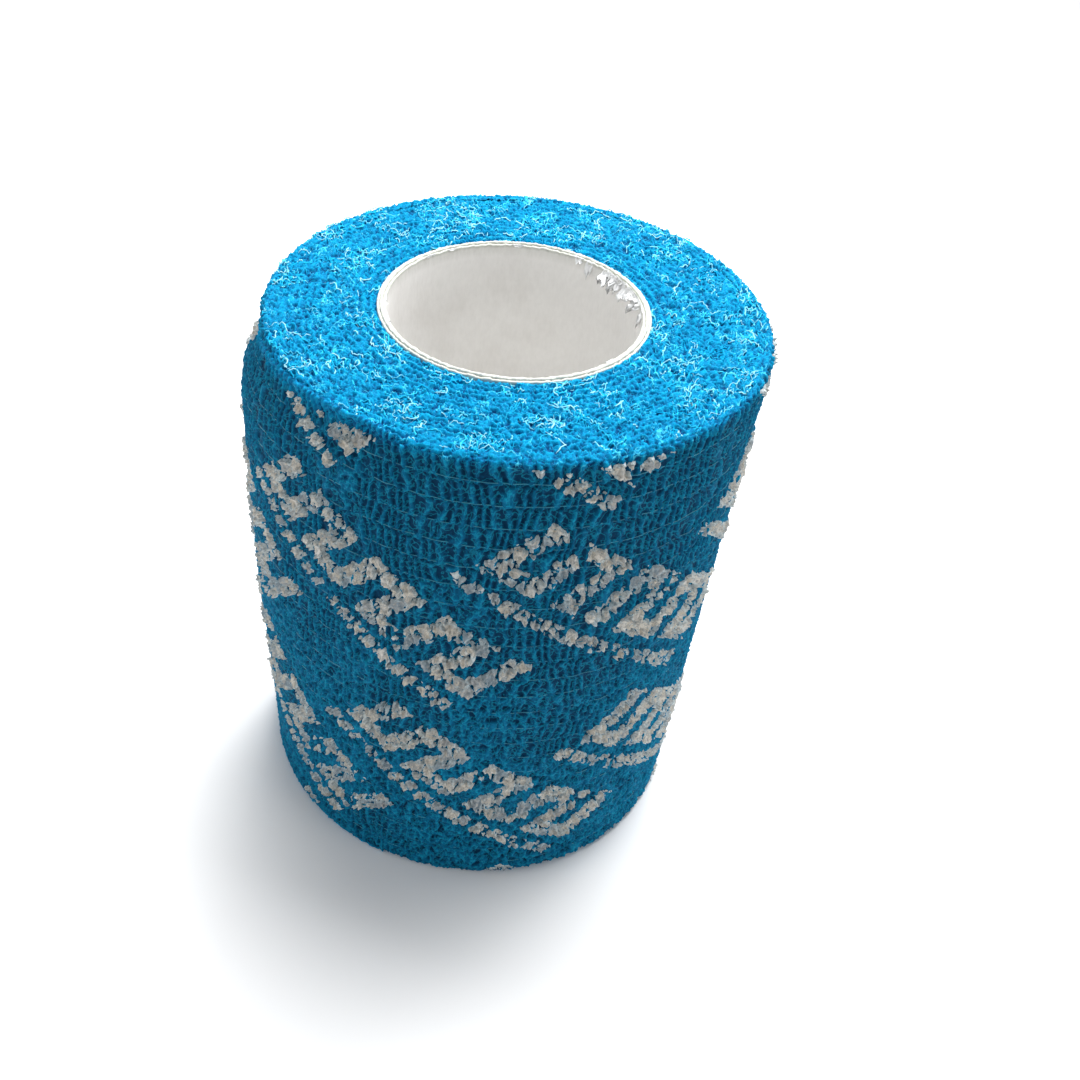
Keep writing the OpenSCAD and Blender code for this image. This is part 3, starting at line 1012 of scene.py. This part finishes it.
def area_light(name, place, target, size, power):
    """A soft white lamp, in metres and watts."""
    data = bpy.data.lights.new(name, "AREA")
    data.size = size
    data.energy = power
    light = bpy.data.objects.new(name, data)
    light.location = place
    light.rotation_euler = (Vector(target) - Vector(place)).to_track_quat("-Z", "Y").to_euler()
    bpy.context.scene.collection.objects.link(light)


def make_studio():
    """A pale sky, a key light above and behind, a low light on each side, and the floor,
    all in metres."""
    world = bpy.data.worlds.new("studio")
    world.use_nodes = True
    sky = world.node_tree.nodes["Background"]
    sky.inputs["Color"].default_value = colour(0.96, 0.98, 1.0)
    sky.inputs["Strength"].default_value = 0.4
    bpy.context.scene.world = world
    bpy.context.scene.view_settings.view_transform = "Standard"
    area_light("key", place=(0.05, 0.16, 0.42), target=(0, 0, 0.06), size=0.3, power=4.2)
    for name, side in (("left", -0.5), ("right", 0.5)):
        area_light(name, place=(side, -0.22, 0.09), target=(0, 0, 0.04), size=0.22, power=0.8)
    bpy.ops.mesh.primitive_circle_add(vertices=96, radius=3.0, fill_type="NGON")
    floor = bpy.context.object
    floor.name = "floor"
    shader = Shader("floor")
    grain = shader.ramp(shader.noise(40, 2.0), (0.3, colour(0.92, 0.92, 0.92)),
                        (0.7, colour(0.94, 0.94, 0.94)))
    shader.set(Base_Color=grain, Roughness=0.8)
    floor.data.materials.append(shader.material)


# ---------------------------------------------------------------- assembly
make_camera()
make_studio()

FABRIC = fabric()
INK = ink_material()
FIBRES = fibre_material()
ELASTANE = thread_material()
# PAPER, for the lit rim, is painted darker, and LINER, for the wall of the shaded bore, paler:
# lit and shaded copies of one paper
PAPER = paper_material("core_paper", RIM_PALE, RIM_SHADE, 0.25)
LINER = paper_material("core_liner", colour(0.88, 0.87, 0.85), colour(0.83, 0.82, 0.8), 0.5,
                       0.3)

side_panels, side_inks = make_side()
for panel in side_panels:
    wear(panel, FABRIC)
for ink in side_inks:
    wear(ink, INK)
for piece in make_end("wrap_top", True, TOP_STEP, TOP_SECTORS):
    wear(piece, FABRIC)
for piece in make_end("wrap_base", False, BASE_STEP, BASE_SECTORS):
    wear(piece, FABRIC)
threads = wear(make_threads(), ELASTANE)
wear(make_top_fibres(), FIBRES)
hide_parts("wound_face_web", "wound_back_web", "wound_binder", "starter_tape")
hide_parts("wound_elastane_threads")
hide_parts("wound_ink")
for number, (node, lift) in enumerate(CORE_PLIES, 1):
    inner = number == 1
    ply = wear(make_ply(number, node, lift), LINER if inner else PAPER)
    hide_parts(node)
# The scraps are painted paler than the rim paper, standing in for light that the shaded bore
# does not give them
wear(make_scraps(), paper_material("torn_paper", colour(0.84, 0.85, 0.85),
                                   colour(0.72, 0.73, 0.74), 0.3))

for number, start, end, first, second in tail_spans():
    web = wear(make_tail_web(number, start, end), FABRIC, None)
    marks = wear(make_tail_print(number, start, end), INK, None)
    yarns = wear(make_tail_threads(number, start, end), ELASTANE, None)
    for piece in (web, marks, yarns):
        follow_tail(piece, first, second)
    if number > 1:
        segment = f"tail_{number - 1}_"
        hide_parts(segment + "face_web", segment + "back_web", segment + "binder")
        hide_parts(segment + "ink")
        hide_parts(segment + "elastane_threads")
